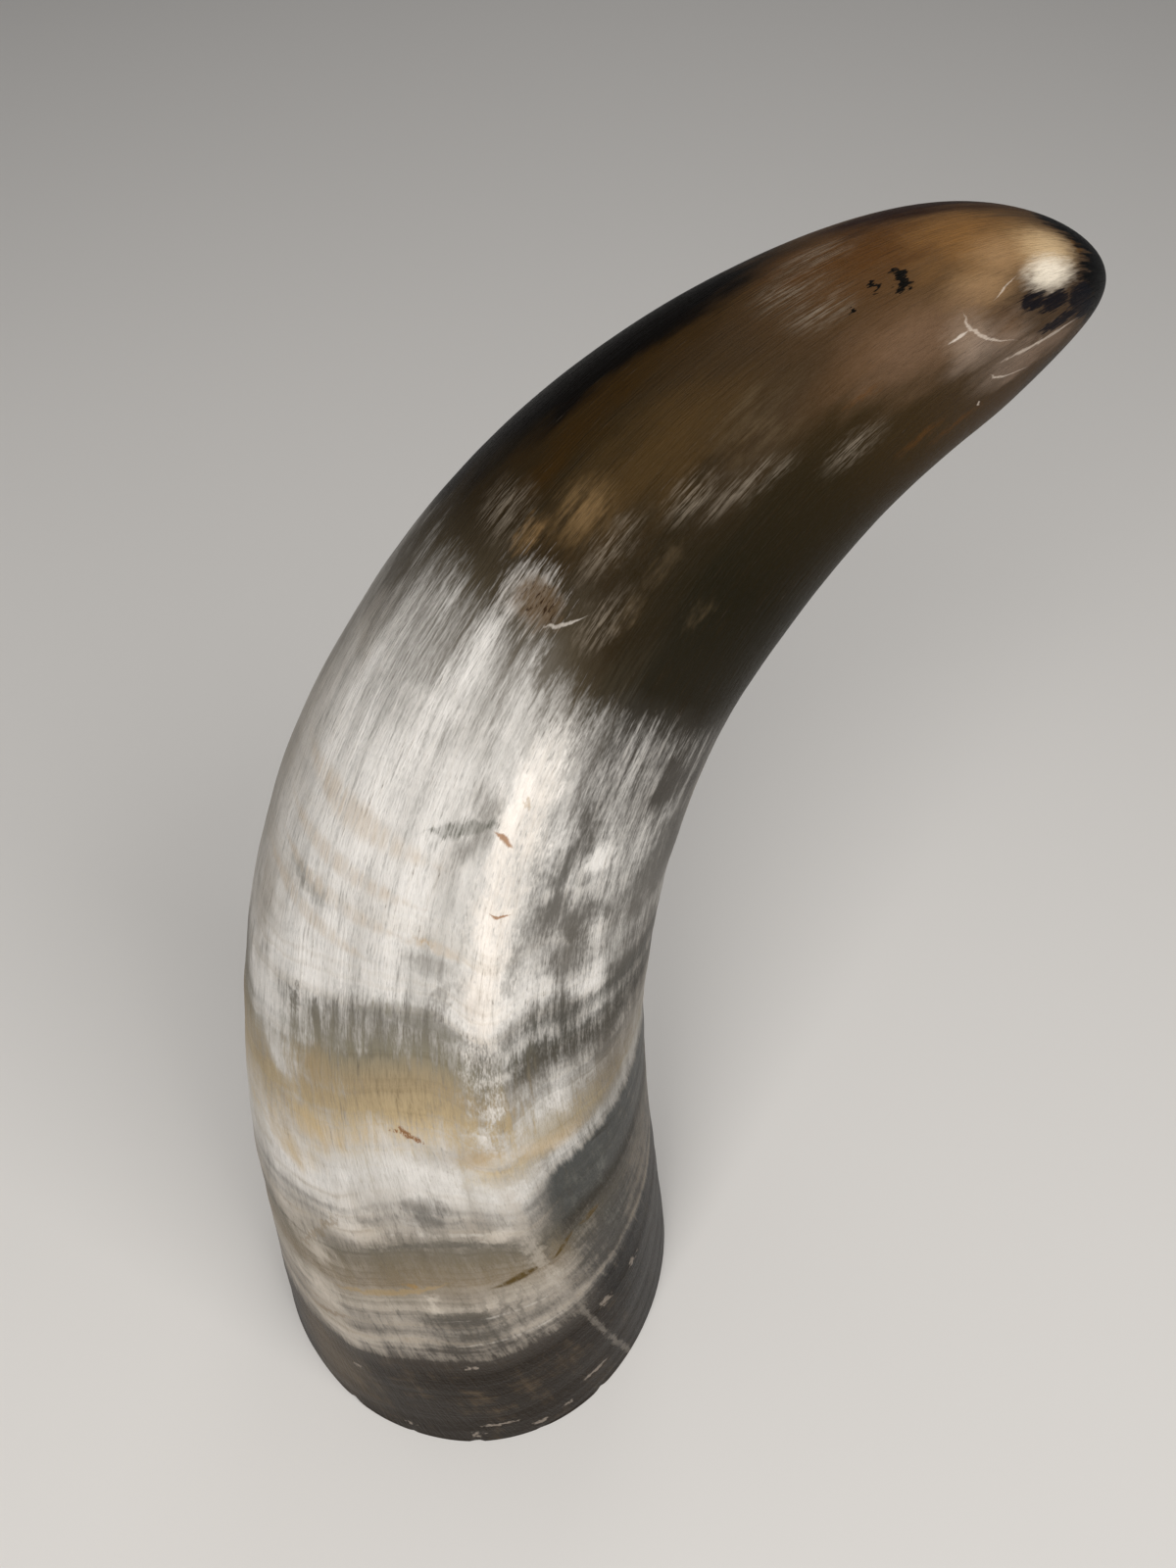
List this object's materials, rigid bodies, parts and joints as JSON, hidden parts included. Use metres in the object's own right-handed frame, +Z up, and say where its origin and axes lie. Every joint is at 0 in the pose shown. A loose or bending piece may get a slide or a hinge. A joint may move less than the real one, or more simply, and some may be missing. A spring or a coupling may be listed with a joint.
{
  "type": "buffalo horn",
  "caption": "Polished natural buffalo horn, short and stout, standing upright on its sawn hollow base, with its blunt tip curving over to one side.",
  "frame": {"origin": "on the surface that the horn stands on, below the middle of its bounding box", "axes": "+Z up from the sawn base; the horn curves in the XZ plane and its tip points to +X; Y is across the curve"},
  "size_m": [0.1234, 0.088, 0.2033],
  "materials": {
    "horn": null
  },
  "bodies": {
    "root": {"horn": "horn"}
  },
  "joints": []
}
